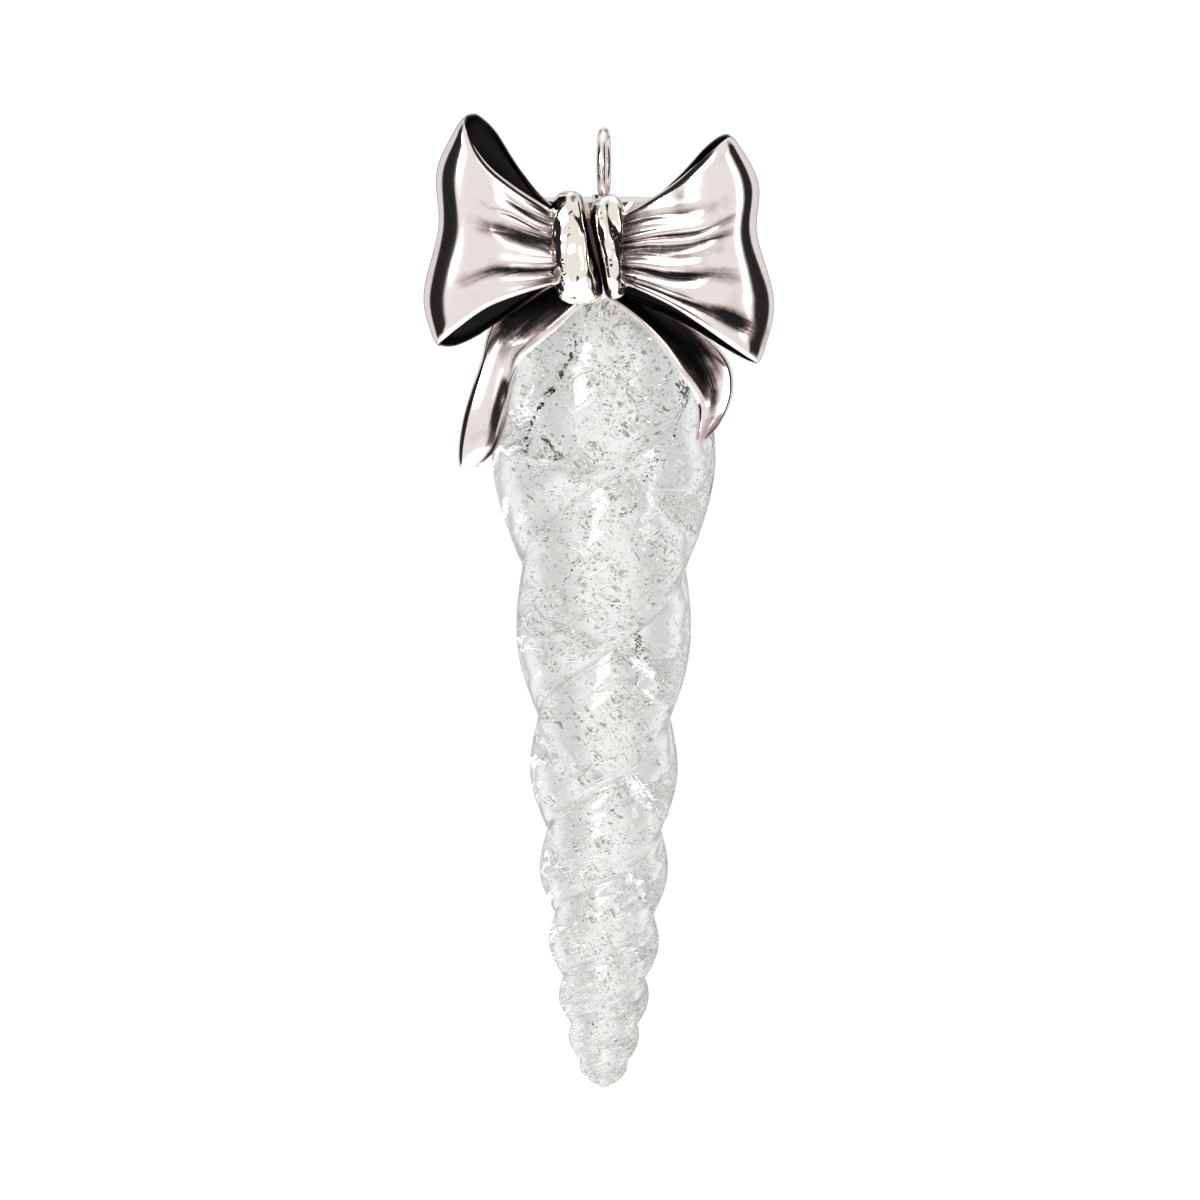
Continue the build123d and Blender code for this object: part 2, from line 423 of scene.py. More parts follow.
# Runs of tarnished leaf along the cores' edges and seams: (height, bearing from +X in degrees,
# distance from the axis), then how many scraps, how far they stray and their sizes. Millimetres.
FLECK_RUNS = [
    (
        [(-32.5, -112, 9.0), (-37.0, -124, 9.8), (-42.0, -144, 10.2), (-48.0, -162, 9.9)],
        150,
        0.16,
        (0.12, 0.34),
    ),
    ([(-48.0, -162, 9.9), (-55.0, -172, 9.0), (-61.0, -178, 8.0)], 40, 0.14, (0.06, 0.18)),
    ([(-37.5, -20, 10.0), (-39.5, -14, 10.1), (-41.5, -12, 10.1)], 150, 0.5, (0.14, 0.42)),
    ([(-42.0, -15, 10.1), (-47.0, -20, 9.9)], 50, 0.14, (0.10, 0.28)),
    ([(-49.5, -42, 9.8), (-52.5, -50, 9.6)], 40, 0.35, (0.10, 0.28)),
    ([(-47.0, -26, 9.6), (-56.0, -34, 9.0), (-64.0, -44, 8.2)], 60, 0.07, (0.05, 0.14)),
    ([(-64.8, -112, 8.6), (-69.2, -126, 8.4)], 60, 0.05, (0.08, 0.22)),
    ([(-69.0, -150, 7.8), (-76.0, -158, 7.4), (-82.0, -160, 6.8)], 70, 0.10, (0.06, 0.16)),
    ([(-76.5, -52, 7.6), (-78.5, -48, 7.8), (-81.0, -46, 7.6)], 90, 0.40, (0.12, 0.34)),
    ([(-82.0, -48, 7.6), (-89.0, -58, 7.0)], 30, 0.10, (0.06, 0.16)),
    ([(-57.0, -60, 9.0), (-58.5, -74, 9.0)], 24, 0.30, (0.08, 0.24)),
    ([(-95.0, -100, 6.6), (-99.0, -116, 6.4)], 40, 0.08, (0.06, 0.18)),
    ([(-104.0, -70, 6.0), (-108.0, -96, 5.8)], 30, 0.12, (0.06, 0.18)),
    ([(-120.0, -60, 5.0), (-124.0, -90, 4.8)], 30, 0.12, (0.06, 0.16)),
    ([(-132.0, -80, 3.6), (-140.0, -110, 3.2)], 40, 0.50, (0.06, 0.18)),
    ([(-70.0, 90, 8.0), (-80.0, 60, 7.6)], 50, 0.20, (0.08, 0.24)),
]


BUNCH_REACH = 0.035  # how far, and how often, scraps bunch up along a run
BUNCH_WAVE = 40


def fleck_runs(name, seed):
    """Tarnished scraps strung along the runs, close together in some places and apart in others."""
    rand = random.Random(seed)
    mesh = bmesh.new()
    for stops, count, stray, sizes in FLECK_RUNS:
        bearings = [(-height, bearing) for height, bearing, _ in stops]
        reaches = [(-height, reach) for height, _, reach in stops]
        for _ in range(count):
            share = rand.random()
            share += BUNCH_REACH * math.sin(share * BUNCH_WAVE + seed)
            depth = -stops[0][0] + (stops[0][0] - stops[-1][0]) * min(max(share, 0.0), 1.0)
            bearing = math.radians(curve_through(bearings, depth))
            outward = Vector((math.cos(bearing), math.sin(bearing), 0))
            off = Vector([rand.gauss(0, stray) for _ in range(3)])
            where = (outward * curve_through(reaches, depth) + Vector((0, 0, -depth)) + off) * MM
            tilt = Vector([rand.gauss(0, 0.35) for _ in range(3)])
            scrap(mesh, where, (outward + tilt).normalized(), rand.uniform(*sizes) * MM, rand)
    return leaf_piece(name, mesh)


def leaf_piece(name, mesh):
    """Makes the scraps in a mesh one piece."""
    data = bpy.data.meshes.new(name)
    mesh.to_mesh(data)
    mesh.free()
    piece = bpy.data.objects.new(name, data)
    bpy.context.scene.collection.objects.link(piece)
    return piece


def scattered(name, count, seed, sizes, depths, cloud, threshold):
    """Scraps of leaf on the strands' cores, in clouds with clear windows between."""
    rand = random.Random(seed)
    mesh = bmesh.new()
    made = 0
    while made < count:
        share = rand.random() ** 0.8
        height = SHOULDER - 1.0 + (TIP + 3.0 - SHOULDER) * (1 - share**0.9)
        depth = rand.uniform(*depths)
        strand = rand.choice((0, 1))
        where, outward = core_point(height, strand, rand.uniform(0, math.tau), depth)
        if noise.noise(where / MM * cloud) + 0.35 * noise.noise(where / MM * cloud * 3) < threshold:
            continue
        tilt = Vector([rand.gauss(0, 0.45) for _ in range(3)])
        size = sizes[0] + (sizes[1] - sizes[0]) * rand.random() ** 2.5
        size *= 0.55 + 0.45 * glass_radius(height) / 18.0
        scrap(mesh, where, (outward + tilt).normalized(), size * MM, rand)
        made += 1
    return leaf_piece(name, mesh)


# ---------------------------------------------------------------- the bow

# Rows run from the knot along the front of a loop, round its outer fold and back. Each row goes
# from the ribbon's top edge to its bottom edge. Millimetres.
LOOP_LEFT = [
    [(-5.9, -16.0, -12.0), (-5.9, -16.6, -16.8), (-5.9, -16.0, -21.6)],
    [(-7.7, -17.0, -10.9), (-7.7, -17.5, -16.5), (-7.7, -17.0, -22.0)],
    [(-10.2, -18.2, -9.3), (-10.2, -18.5, -16.0), (-10.2, -18.2, -22.5)],
    [(-13.7, -19.5, -7.0), (-13.7, -19.7, -15.3), (-13.8, -19.5, -23.5)],
    [
        (-17.5, -20.5, -3.9), (-17.5, -20.8, -9.6), (-17.5, -20.8, -14.8),
        (-17.8, -20.8, -20.2), (-18.0, -20.5, -25.2),
    ],
    [
        (-20.2, -20.9, -0.4), (-21.2, -21.0, -7.4), (-21.0, -21.0, -14.6),
        (-22.2, -21.0, -22.0), (-22.0, -20.9, -27.9),
    ],
    [
        (-21.5, -20.3, 2.3), (-23.6, -20.2, -5.4), (-23.5, -20.1, -13.7),
        (-25.4, -20.1, -22.8), (-24.6, -20.2, -30.0),
    ],
    [
        (-21.5, -18.7, 3.7), (-25.1, -18.2, -4.4), (-25.0, -18.2, -13.3),
        (-27.2, -18.0, -23.6), (-25.7, -18.6, -31.0),
    ],
    [
        (-20.6, -17.0, 4.2), (-25.0, -16.0, -4.2), (-24.8, -16.0, -13.3),
        (-27.1, -15.9, -23.8), (-25.3, -16.9, -31.4),
    ],
    [
        (-19.2, -15.4, 3.8), (-23.0, -14.4, -4.6), (-22.8, -14.4, -13.4),
        (-24.6, -14.4, -23.8), (-23.2, -15.2, -31.5),
    ],
    [
        (-16.6, -14.0, 1.2), (-18.6, -13.4, -7.0), (-18.8, -13.4, -14.2),
        (-20.0, -13.4, -23.0), (-20.2, -13.9, -30.3),
    ],
    [(-13.8, -13.2, -3.4), (-14.2, -12.9, -14.9), (-16.6, -13.2, -28.0)],
    [(-11.0, -12.9, -7.3), (-11.0, -12.7, -15.8), (-12.0, -12.9, -24.9)],
    [(-8.4, -13.1, -9.8), (-8.4, -12.9, -16.2), (-8.6, -13.1, -22.6)],
    [(-5.9, -13.8, -11.6), (-5.9, -13.7, -16.6), (-5.9, -13.8, -21.6)],
]
LOOP_RIGHT = [
    [(1.2, -16.0, -12.1), (1.2, -16.6, -16.8), (1.2, -16.0, -21.6)],
    [(3.4, -17.0, -11.0), (3.4, -17.5, -16.6), (3.4, -17.0, -22.1)],
    [(6.6, -18.2, -9.2), (6.6, -18.5, -16.4), (6.6, -18.2, -23.2)],
    [(10.6, -19.4, -6.6), (10.6, -19.6, -16.4), (10.7, -19.4, -25.1)],
    [
        (14.0, -20.4, -3.7), (14.6, -20.7, -10.4), (14.8, -20.7, -16.2),
        (14.9, -20.7, -21.6), (15.0, -20.4, -27.9),
    ],
    [
        (16.8, -20.8, -1.3), (18.6, -20.9, -8.6), (18.8, -20.9, -15.6),
        (19.4, -20.9, -22.4), (18.9, -20.8, -30.6),
    ],
    [
        (18.6, -20.2, 0.2), (21.6, -20.0, -7.2), (21.5, -20.0, -14.8),
        (23.0, -20.0, -23.6), (21.8, -20.1, -32.6),
    ],
    [
        (19.6, -18.6, 0.8), (23.2, -18.0, -6.4), (23.1, -18.0, -14.3),
        (25.6, -17.9, -24.6), (23.6, -18.5, -33.8),
    ],
    [
        (18.9, -16.8, 1.1), (23.1, -15.8, -6.3), (22.9, -15.8, -14.3),
        (25.5, -15.7, -24.8), (23.7, -16.8, -34.1),
    ],
    [
        (17.4, -15.3, 0.4), (21.0, -14.3, -6.8), (20.8, -14.3, -14.5),
        (22.8, -14.3, -24.6), (22.0, -15.1, -33.6),
    ],
    [
        (15.2, -14.0, -1.6), (16.8, -13.4, -8.8), (17.0, -13.4, -15.2),
        (18.0, -13.4, -23.8), (18.8, -13.9, -31.9),
    ],
    [(12.2, -13.2, -5.0), (12.8, -12.9, -15.6), (14.6, -13.2, -29.3)],
    [(8.8, -12.9, -8.2), (8.8, -12.7, -16.2), (9.8, -12.9, -26.8)],
    [(5.0, -13.1, -10.6), (5.0, -12.9, -16.6), (5.4, -13.1, -25.0)],
    [(1.2, -13.8, -11.8), (1.2, -13.7, -16.6), (1.2, -13.8, -23.4)],
]
# Creases run from (along, across) to (along, across) of a ribbon. Then come their depth, their
# half width at either end and how dark they are painted, tarnished silver together with painted shade.
CREASES_LEFT = [
    ((0.00, 0.16), (0.26, 0.15), 0.25, 0.035, 0.030, 0.55),
    ((0.00, 0.43), (0.29, 0.42), 0.60, 0.110, 0.060, 1.15),
    ((0.00, 0.81), (0.31, 0.74), 0.45, 0.050, 0.045, 1.15),
    ((0.10, 0.30), (0.30, 0.26), 0.15, 0.020, 0.025, 0.35),
]
CREASES_RIGHT = [
    ((0.00, 0.41), (0.37, 0.37), 0.45, 0.030, 0.020, 1.00),
    ((0.06, 0.50), (0.37, 0.45), 0.30, 0.045, 0.022, 0.85),
    ((0.00, 0.56), (0.24, 0.53), 0.30, 0.085, 0.060, 0.80),
    ((0.00, 0.79), (0.33, 0.69), 0.55, 0.050, 0.045, 1.35),
    ((0.14, 0.93), (0.45, 0.88), 0.25, 0.030, 0.045, 1.20),
    ((0.08, 0.14), (0.31, 0.27), 0.20, 0.040, 0.030, 0.45),
]
CREASES_TAIL_LEFT = [
    ((0.00, 0.40), (0.42, 0.42), 0.10, 0.500, 0.340, 1.30),
    ((0.26, 0.95), (0.52, 0.84), 0.10, 0.120, 0.060, 0.70),
    ((0.60, 1.00), (0.92, 0.90), 0.12, 0.060, 0.170, 1.20),
]
CREASES_TAIL_RIGHT = [
    ((0.00, 0.42), (0.50, 0.52), 0.10, 0.500, 0.320, 1.40),
    ((0.40, 0.70), (0.74, 0.62), 0.20, 0.280, 0.120, 1.10),
    ((0.82, 0.50), (1.00, 0.50), 0.00, 0.500, 0.500, 0.40),
]
# Tail rows run from the knot to the tip, each from the outer edge to the inner one.
TAIL_LEFT = [
    [(-4.6, -13.4, -22.0), (-2.8, -15.8, -24.2)],
    [(-8.4, -12.1, -22.3), (-4.9, -15.6, -26.2)],
    [(-12.6, -11.3, -23.9), (-7.4, -15.0, -28.7)],
    [(-16.2, -11.2, -26.8), (-10.5, -14.1, -31.4)],
    [(-17.9, -11.8, -29.8), (-15.6, -12.9, -31.3), (-12.9, -13.0, -33.9)],
    [(-18.8, -12.6, -33.8), (-16.4, -13.2, -34.4), (-13.9, -12.2, -36.8)],
    [(-20.4, -13.0, -38.7), (-17.3, -13.4, -39.0), (-14.4, -11.6, -39.9)],
    [(-21.6, -12.9, -42.9), (-18.4, -13.3, -43.2), (-15.0, -11.3, -43.6)],
    [(-22.3, -12.2, -47.2), (-19.5, -12.5, -47.3), (-16.3, -11.1, -47.4)],
    [(-22.3, -11.5, -50.0), (-20.2, -11.7, -49.6), (-18.2, -11.0, -49.3)],
    [(-21.6, -11.1, -51.0), (-20.9, -11.2, -50.8), (-20.3, -10.9, -50.4)],
]
TAIL_RIGHT = [
    [(1.9, -13.6, -22.2), (0.6, -15.9, -24.0)],
    [(5.4, -12.0, -24.2), (3.6, -16.0, -26.0)],
    [(10.4, -11.3, -26.9), (6.4, -15.8, -28.4)],
    [(14.6, -10.6, -29.5), (12.2, -12.8, -30.6), (9.0, -15.2, -31.6)],
    [(17.8, -10.5, -32.3), (15.2, -11.8, -33.6), (11.6, -14.4, -35.2)],
    [(19.5, -10.6, -35.0), (17.0, -11.4, -36.4), (13.6, -13.2, -38.2)],
    [(19.9, -10.8, -38.2), (17.6, -11.5, -39.2), (14.8, -12.3, -40.8)],
    [(19.2, -11.1, -41.2), (17.2, -11.7, -41.9), (14.8, -12.1, -43.0)],
    [(17.6, -11.4, -44.2), (16.0, -12.0, -44.5), (14.6, -12.1, -45.0)],
    [(15.8, -11.8, -46.0), (15.2, -12.0, -46.2), (14.5, -12.1, -46.3)],
]
EDGE_ROLL = 0.45  # how far a ribbon's edges are rolled back
# How dark the skin facing a loop's middle or a tail's glass side is painted: painted shade.
INSIDE_PAINTED_SHADE = 1.7


def across_row(row, v):
    """A place across one row of a ribbon, v from 0 to 1."""
    count = len(row) - 1
    at = v * count
    i = min(int(at), count - 1)
    if count == 1:
        return row[0].lerp(row[1], v)
    ends = [row[0] * 2 - row[1]] + row + [row[-1] * 2 - row[-2]]
    return spline(ends[i : i + 4], at - i)


def patch_point(rows, u, v):
    """A place on the smooth sheet through the rows, u along the ribbon and v across it."""
    count = len(rows) - 1
    at = u * count
    i = min(int(at), count - 1)
    near = [across_row(rows[min(max(k, 0), count)], v) for k in (i - 1, i, i + 1, i + 2)]
    return spline(near, at - i)


def crease_depth(creases, u, v):
    """How deep the creases press the sheet at u, v, in millimetres, and how dark they are painted, tarnished
    silver together with painted shade.
    """
    depth = 0.0
    dark = 0.0
    for (u0, v0), (u1, v1), deep, wide, narrow, tarnish in creases:
        along = (u - u0) / (u1 - u0)
        if not -0.1 < along < 1.25:
            continue
        inside = min(max(along, 0.0), 1.0)
        middle = v0 + (v1 - v0) * inside + 0.010 * math.sin(8 * inside + 20 * v0)
        fade = 1 - inside**3
        off = (v - middle) / (wide + (narrow - wide) * inside)
        depth += deep * fade * min(1.0, 0.4 + 3 * inside) * math.exp(-off * off)
        depth -= 0.4 * deep * fade * (math.exp(-((off - 1.8) ** 2)) + math.exp(-((off + 1.8) ** 2)))
        streak = 1 + 0.5 * noise.noise(Vector((u * 9, v * 70, v0 * 30)))
        end = 1 - max(along - 0.75, 0) * 2
        dark = max(dark, tarnish * streak * max(end, 0) * math.exp(-abs(off) ** 2.6))
    return depth, dark


def knot_tarnish_and_shade(u, v, reach):
    """Darkening that spreads from the knot in streaks and is kept off the edges: tarnished silver together
    with painted shade near the knot.
    """
    streak = noise.noise(Vector((u * 14, v * 60, 3.0))) + 0.6 * noise.noise(Vector((u * 30, v * 130, 7.0)))
    spread = max(0.0, 1 - u / reach) ** 1.5
    return spread * (0.58 + 0.65 * streak) + 0.8 * math.exp(-((u / reach / 0.28) ** 2))


def loop_middle(here):
    """The nearest place inside a loop, between its front and its back."""
    reach = min(max(here.x, -20.0), 18.5)
    return Vector((reach, -14.3 - 0.13 * abs(reach), here.z))


def glass_axis(here):
    return Vector((0, 0, here.z))


def make_ribbon(name, rows, creases, detail, thickness, reach, rim, inside):
    """A strip of sheet silver on the rows, creased and thickened, with painted shade on its inside."""
    rows = [[Vector(point) for point in row] for row in rows]
    how = {"x_subdivisions": detail[0], "y_subdivisions": detail[1], "size": 1.0}
    piece = started(name, bpy.ops.mesh.primitive_grid_add, **how)
    mesh = bmesh.from_edit_mesh(piece.data)
    layer = mesh.verts.layers.float.new("tarnish")
    for vertex in mesh.verts:
        u = vertex.co.x + 0.5
        v = vertex.co.y + 0.5
        here = patch_point(rows, u, v)
        step = 0.004
        along = patch_point(rows, min(u + step, 1), v) - patch_point(rows, max(u - step, 0), v)
        over = patch_point(rows, u, min(v + step, 1)) - patch_point(rows, u, max(v - step, 0))
        outward = along.cross(over).normalized()
        if outward.dot(here - inside(here)) < 0:
            outward = -outward
        depth, dark = crease_depth(creases, u, v)
        near_edge = max(0.0, 1 - min(v, 1 - v) / rim)
        roll = EDGE_ROLL * near_edge**2
        vertex.co = (here - outward * (depth + roll)) * MM
        vertex[layer] = max(dark, knot_tarnish_and_shade(u, v, reach)) * (1 - near_edge**0.5)
    bmesh.update_edit_mesh(piece.data)
    bpy.ops.mesh.select_all(action="SELECT")
    bpy.ops.mesh.normals_make_consistent(inside=False)
    bpy.ops.object.mode_set(mode="OBJECT")
    flat = len(piece.data.vertices)
    modified(piece, "SOLIDIFY", thickness=thickness * MM, offset=0.0)
    blacken(piece, flat, inside)
    limit = {"limit_method": "ANGLE", "angle_limit": math.radians(50)}
    modified(piece, "BEVEL", width=thickness * 0.36 * MM, segments=3, **limit)
    smoothed(piece, 50.0)
    return piece


def blacken(piece, flat, inside):
    """Paints the one of a thickened sheet's two skins that faces the inside near-black: painted shade."""
    data = piece.data
    first = [vertex.co / MM for vertex in data.vertices[:flat]]
    second = [vertex.co / MM for vertex in data.vertices[flat : flat * 2]]
    lean = sum((b - a).dot(inside(a) - a) for a, b in zip(first, second))
    start = flat if lean > 0 else 0
    values = data.attributes["tarnish"].data
    for i in range(start, start + flat):
        values[i].value = INSIDE_PAINTED_SHADE


FOLD_SQUARE = 0.84  # 1 leaves a fold's section round, less squares it
# The groove between the folds lies where x = GROOVE_START - GROOVE_SLANT * z, in millimetres.
GROOVE_START = -5.0
GROOVE_SLANT = 0.23
# Rings of a fold from the top down: height, middle x and y, half width and half depth.
FOLD_LEFT = [
    (-7.6, -5.3, -15.2, 0.8, 1.2),
    (-8.0, -5.35, -15.3, 1.6, 2.1),
    (-8.9, -5.45, -15.4, 2.3, 2.9),
    (-10.8, -5.75, -15.6, 2.85, 3.45),
    (-13.6, -5.6, -15.75, 3.2, 3.8),
    (-16.6, -5.15, -15.8, 3.45, 3.95),
    (-19.6, -4.45, -15.8, 3.6, 3.9),
    (-22.2, -3.85, -15.7, 3.75, 3.6),
    (-23.9, -3.6, -15.6, 3.5, 3.0),
    (-24.8, -3.8, -15.5, 2.5, 2.1),
    (-25.15, -4.0, -15.4, 1.3, 1.2),
]
FOLD_RIGHT = [
    (-8.3, 0.9, -15.2, 0.75, 1.1),
    (-8.7, 0.8, -15.2, 1.6, 1.9),
    (-9.7, 0.5, -15.3, 2.55, 2.7),
    (-11.6, 0.5, -15.4, 2.85, 3.2),
    (-14.4, 0.95, -15.5, 2.6, 3.4),
    (-17.4, 1.35, -15.5, 2.3, 3.45),
    (-20.4, 1.65, -15.5, 2.0, 3.3),
    (-22.6, 1.75, -15.4, 1.85, 2.9),
    (-23.8, 1.7, -15.3, 1.5, 2.2),
    (-24.4, 1.7, -15.2, 0.8, 1.2),
]


def squared(share):
    """Pushes a round's point out towards a rounded square."""
    return math.copysign(abs(share) ** FOLD_SQUARE, share)


def make_fold(name, rings, around):
    """One rounded fold of the knot: a round, drawn down and reshaped ring by ring."""
    height, x, y, wide, deep = rings[0]
    how = {"vertices": around, "radius": wide * MM}
    piece = started(name, bpy.ops.mesh.primitive_circle_add, **how)
    bpy.ops.mesh.select_all(action="SELECT")
    mesh = bmesh.from_edit_mesh(piece.data)
    for vertex in mesh.verts:
        vertex.co.x = wide * MM * squared(vertex.co.x / wide / MM)
        vertex.co.y = deep * MM * squared(vertex.co.y / wide / MM)
    bmesh.update_edit_mesh(piece.data)
    bpy.ops.transform.translate(value=Vector((x, y, height)) * MM)
    for above, below in zip(rings, rings[1:]):
        move = [(b - a) * MM for a, b in zip(above[1:3] + above[:1], below[1:3] + below[:1])]
        scale = (below[3] / above[3], below[4] / above[4], 1)
        grow(move, 0, scale, Vector((below[1], below[2], below[0])) * MM)
    bpy.ops.mesh.edge_face_add()
    picked(piece, lambda co: co.z > (height - 0.01) * MM)
    bpy.ops.mesh.edge_face_add()
    closed(piece)
    modified(piece, "SUBSURF", levels=2, render_levels=2)
    smoothed(piece)
    return piece


# ---------------------------------------------------------------- finishes


def silver_finish(name, colour, tarnish, polish, tarnish_and_shade_source=None):
    """Polished silver with faint hammering and scratches and darker cloudy patches; where a source attribute
    is given, darker still: tarnished silver with painted shade in the creases, and near-black painted shade
    on a ribbon's inside.
    """
    tree = Tree(bpy.data.materials.new(name))
    where = tree.place()
    clouds = tree.noise(where, 260.0, 4.0)
    scratches = tree.noise(tree.place((1, 1, 0.06), (0.3, 0.9, 0.2)), 9000.0, 3.0)
    waves = tree.noise(where, 160.0, 1.5)
    grime_and_shade = (clouds - 0.58) * 0.8
    if tarnish_and_shade_source:
        patchy = tree.noise(where, 1400.0, 5.0, 0.65)
        grime_and_shade = grime_and_shade + tree.attribute(tarnish_and_shade_source) * (0.62 + patchy * 0.7)
    brown = [shade * share for shade, share in zip(colour, (0.58, 0.52, 0.52))]
    # The last, near-black stop is reached on a ribbon's inside and in its darkest creases: painted shade.
    shades = (colour, brown, tarnish, (0.016, 0.014, 0.015))
    stops = [(place, (*shade, 1)) for place, shade in zip((0.0, 0.32, 0.68, 1.0), shades)]
    base = tree.node("ShaderNodeValToRGB", {"stops": stops}, {0: grime_and_shade})
    rough = polish + grime_and_shade.clamped() * 0.25 + (scratches - 0.5) * 0.06
    uneven = tree.bump(waves + scratches * 0.006, 0.35, 0.35 * MM)
    return tree.surface(Base_Color=base, Metallic=1.0, Roughness=rough, Normal=uneven)


# Rows of casting pits: middle x, top and bottom height, gap between pits, size of a pit.
PIT_ROWS = [
    (-5.3, -10.2, -14.6, 1.05, 0.12),
    (-6.3, -17.6, -22.0, 0.80, 0.22),
    (-0.4, -10.0, -12.6, 0.95, 0.11),
    (1.5, -13.4, -16.8, 0.90, 0.15),
    (0.9, -17.6, -19.4, 0.85, 0.20),
]


def knot_finish(colour, tarnish):
    """Bright cast silver, a little warm, with lines of small pits and a black groove."""
    tree = Tree(bpy.data.materials.new("knot_silver"))
    where = tree.place()
    x, z = (tree.node("ShaderNodeSeparateXYZ", {}, {0: where}, output=i) for i in (0, 2))
    sway = (tree.noise(where, 1100.0, 1.0) - 0.5) * 1.6 * MM
    pits = 0
    for middle, high, low, gap, size in PIT_ROWS:
        across = (x + sway - middle * MM) / (size * MM)
        turn = (z + sway) / (gap * MM)
        up = (turn.maths("FRACT", turn) - 0.5) * (gap / size)
        far = across**2 + up**2
        above = z.step((low - 0.05) * MM, low * MM)
        within = above * (1 - z.step(high * MM, (high + 0.05) * MM))
        pits = pits + (1 - far.step(0.5, 1.6)) * within
    clouds = tree.noise(where, 380.0, 3.0)
    wobble = (tree.noise(where, 700.0, 2.0) - 0.5) * 0.9 * MM
    off = x + wobble + z * GROOVE_SLANT - GROOVE_START * MM
    groove = 1 - off.maths("ABSOLUTE", off).step(0.45 * MM, 0.85 * MM)
    warm = tree.mix(clouds.step(0.35, 0.7), (*colour, 1), (0.94, 0.88, 0.76, 1))
    base = tree.mix((pits + groove).clamped(), warm, (*tarnish, 1))
    swell = tree.noise(tree.place((1, 1, 0.6)), 310.0, 1.0)
    relief = tree.bump(swell - pits * 0.06, 1.0, 2.2 * MM)
    rough = 0.06 + pits * 0.3 + groove * 0.25
    return tree.surface(Base_Color=base, Metallic=1.0, Roughness=rough, Normal=relief)


def ring_finish(colour, tint, low, high):
    """Polished wire that turns brown towards its foot, between two heights."""
    tree = Tree(bpy.data.materials.new("ring_silver"))
    where = tree.place()
    height = tree.node("ShaderNodeSeparateXYZ", {}, {0: where}, output=2)
    wave = tree.noise(where, 500.0, 2.0)
    foot = 1 - (height + (wave - 0.5) * 2 * MM).step(low, high)
    base = tree.mix(foot * 0.7, (*colour, 1), (*tint, 1))
    fine = tree.bump(tree.noise(where, 2500.0, 3.0), 0.08, 0.1 * MM)
    return tree.surface(Base_Color=base, Metallic=1.0, Roughness=0.1 + foot * 0.12, Normal=fine)


def clear_glass_finish(colour):
    """Clear polished glass with drawn lines that wind with the strands, and shade between them."""
    tree = Tree(bpy.data.materials.new("leaf_glass"))
    where = tree.place((1, 1, 0.45))
    flow = tree.node("ShaderNodeAttribute", {"attribute_name": "flow"}, output=1)
    along = tree.node("ShaderNodeMapping", {}, {"Vector": flow, "Scale": (1, 1, 0.16)})
    strings = tree.noise(along, 2.4, 0.0)
    seams = tree.noise(along, 1.7, 0.0) - 0.5
    seams = 1 - seams.maths("ABSOLUTE", seams).step(0.0, 0.03)
    drawn = tree.noise(where, 170.0, 1.0) + tree.noise(where, 620.0, 1.0) * 0.12
    drawn = drawn + strings * 2.0 + seams * 0.14
    normal = tree.bump(drawn, 0.5, 0.6 * MM)
    beside = tree.node("ShaderNodeSeparateXYZ", {}, {0: flow}, output=0)
    valley = 1 - beside.maths("ABSOLUTE", beside).step(0.01, 0.07)
    edge = beside.maths("ABSOLUTE", beside) - 0.30
    edge = 1 - edge.maths("ABSOLUTE", edge).step(0.0, 0.03)
    fade = tree.noise(along, 4.0, 2.0).step(0.35, 0.6)
    shade = ((valley * 0.9 + edge * 0.45) * fade).clamped()
    tint = tree.mix(shade, (*colour, 1), (*[tone * 0.62 for tone in colour], 1))
    sockets = {"Roughness": 0.0, "IOR": 1.5, "Transmission_Weight": 1.0}
    return tree.surface(Base_Color=tint, Normal=normal, **sockets)


def leaf_finish(name, colour, other, rough, glow=0.0):
    """Scraps of leaf that go from one colour to another along the glass."""
    tree = Tree(bpy.data.materials.new(name))
    patches = tree.noise(tree.place(), 1500.0, 2.0)
    dull = tree.noise(tree.place((1, 1, 0.5)), 900.0, 3.0).step(0.50, 0.58) * 0.75
    base = tree.mix(patches.step(0.42, 0.6), (*colour, 1), (*other, 1))
    base = tree.mix(dull, base, (0.30, 0.30, 0.29, 1))
    shine = rough + (patches - 0.5) * 0.2
    # A glow above 0 makes the scraps give off light in their own colour: painted light standing in for
    # sparkle.
    sockets = {"Emission_Color": base, "Emission_Strength": glow}
    return tree.surface(Base_Color=base, Metallic=0.55, Roughness=shine, **sockets)


def cement_finish():
    """Off-white cement with a fine grain."""
    tree = Tree(bpy.data.materials.new("neck_cement"))
    grain = tree.noise(tree.place(), 3000.0, 4.0)
    base = tree.mix(grain, (0.78, 0.76, 0.70, 1), (0.88, 0.86, 0.80, 1))
    rough = 0.75 + grain * 0.2
    return tree.surface(Base_Color=base, Roughness=rough, Normal=tree.bump(grain, 0.4, 0.1 * MM))


def room_finish(tone):
    """The pale paper of the floor."""
    tree = Tree(bpy.data.materials.new("pale_paper"))
    grain = tree.noise(tree.place(), 30.0, 3.0)
    base = tree.mix(grain, (tone, tone, tone, 1), (tone * 0.985, tone * 0.985, tone * 0.985, 1))
    glow = {"Emission_Color": (1, 1, 1, 1), "Emission_Strength": 0.35}
    return tree.surface(Base_Color=base, Roughness=0.9, Specular_IOR_Level=0.1, **glow)


# ---------------------------------------------------------------- settings a user may change


